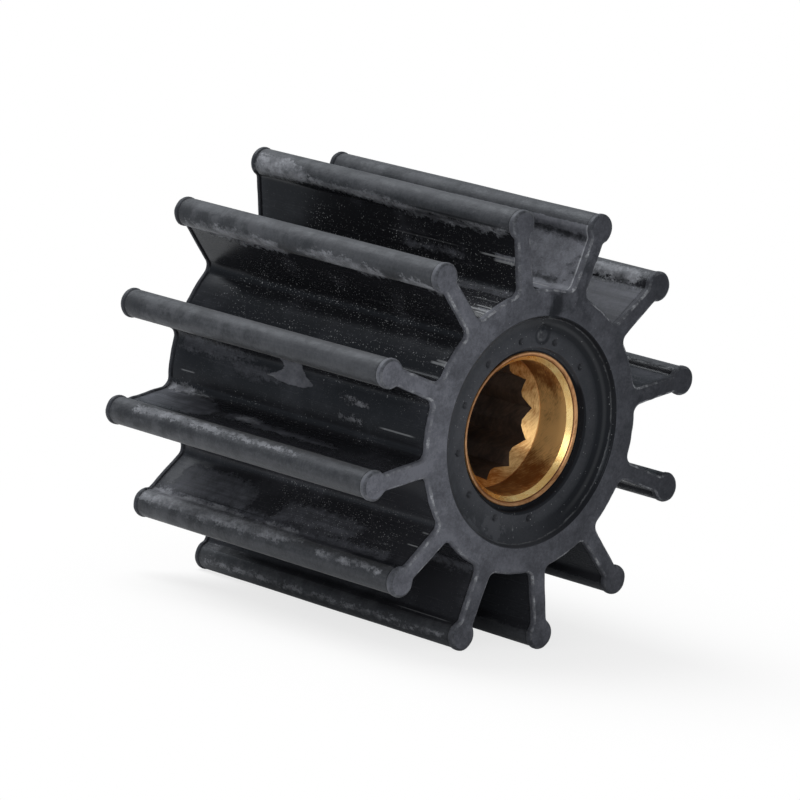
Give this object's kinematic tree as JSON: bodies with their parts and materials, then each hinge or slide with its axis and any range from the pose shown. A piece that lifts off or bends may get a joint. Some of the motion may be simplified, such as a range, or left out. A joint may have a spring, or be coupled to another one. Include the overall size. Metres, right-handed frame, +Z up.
{
  "type": "rubber pump impeller",
  "caption": "Moulded black rubber pump impeller with straight beaded vanes and a bonded brass insert with a counterbored multi-point shaft bore.",
  "frame": {"origin": "on the spin axis, halfway between the two end faces", "axes": "the spin axis is Y; the front end, with the counterbored mouth of the insert, looks to -Y; +Z is up, through the gap between two vanes, with two vane tips lowest"},
  "size_m": [0.0554, 0.0484, 0.0554],
  "materials": {
    "rubber": "matte black moulded rubber",
    "brass": "turned and broached, lightly darkened"
  },
  "bodies": {
    "root": {"rubber_impeller": "rubber", "brass_insert": "brass"}
  },
  "joints": []
}
